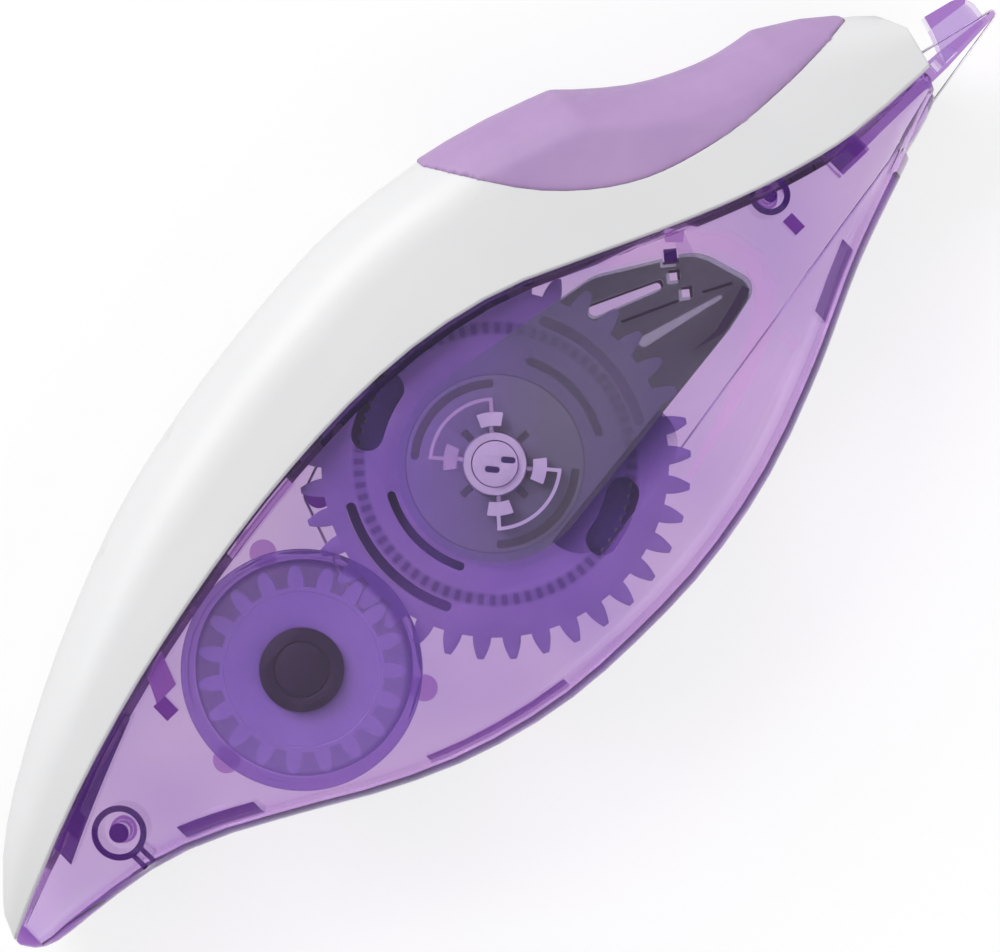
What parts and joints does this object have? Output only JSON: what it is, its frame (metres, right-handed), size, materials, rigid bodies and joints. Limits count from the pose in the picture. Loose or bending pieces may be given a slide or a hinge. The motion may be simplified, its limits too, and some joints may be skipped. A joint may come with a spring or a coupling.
{
  "type": "correction tape",
  "caption": "Pen-style correction tape: white spine with a soft grip, clear lilac shells, geared supply and take-up reels with a slip clutch, and a fixed tip that lays white tape.",
  "frame": {"origin": "axis of the supply reel, on the flat outer face of the far shell that the part lies on", "axes": "+X along the length from the tail to the applicator tip, +Y towards the white spine, +Z through the thickness from the far shell to the near shell"},
  "size_m": [0.1279, 0.0482, 0.017],
  "materials": {
    "clear_shell": "clear lilac, glossy",
    "white_shell": "opaque white, satin gloss",
    "grip": "soft lilac rubber, matte",
    "smoke_plate": "smoke grey",
    "gear": "purple, satin",
    "clutch": "grey, satin",
    "spring": "clear lilac",
    "spool": "purple, satin",
    "dark_hub": "charcoal",
    "tip": "clear lilac",
    "tape": "white coating on paper tape",
    "liner": "translucent release liner"
  },
  "bodies": {
    "housing": {"near_shell": "clear_shell", "far_shell": "clear_shell", "spine_cover": "white_shell", "grip_pad": "grip", "near_reel_plate": "smoke_plate", "far_reel_plate": "smoke_plate", "hub_cap": "spring", "applicator_tip": "tip", "tape_strand": "tape", "liner_strand": "liner"},
    "supply_drive": {"supply_gear": "gear", "clutch_disc": "clutch", "clutch_spring": "spring"},
    "supply_reel": {"supply_core": "spool", "clutch_ring": "gear", "tape_roll": "tape"},
    "take_up_reel": {"take_up_gear": "gear", "take_up_flange": "spool", "take_up_core": "spool", "take_up_hub": "dark_hub", "liner_roll": "liner"}
  },
  "joints": [
    {"name": "supply_drive_spin", "type": "hinge", "parent": "housing", "child": "supply_drive", "pos_m": [0, 0, 0.0085], "axis": [0, 0, 1], "continuous": true},
    {"name": "supply_reel_spin", "type": "hinge", "parent": "housing", "child": "supply_reel", "pos_m": [0, 0, 0.0085], "axis": [0, 0, 1], "continuous": true},
    {"name": "take_up_spin", "type": "hinge", "parent": "housing", "child": "take_up_reel", "pos_m": [-0.02657, -0.0013, 0.0085], "axis": [0, 0, 1], "continuous": true}
  ],
  "couplings": [
    {"joint": "supply_reel_spin", "follows": "supply_drive_spin", "ratio": 1},
    {"joint": "take_up_spin", "follows": "supply_drive_spin", "ratio": -1.9474}
  ]
}
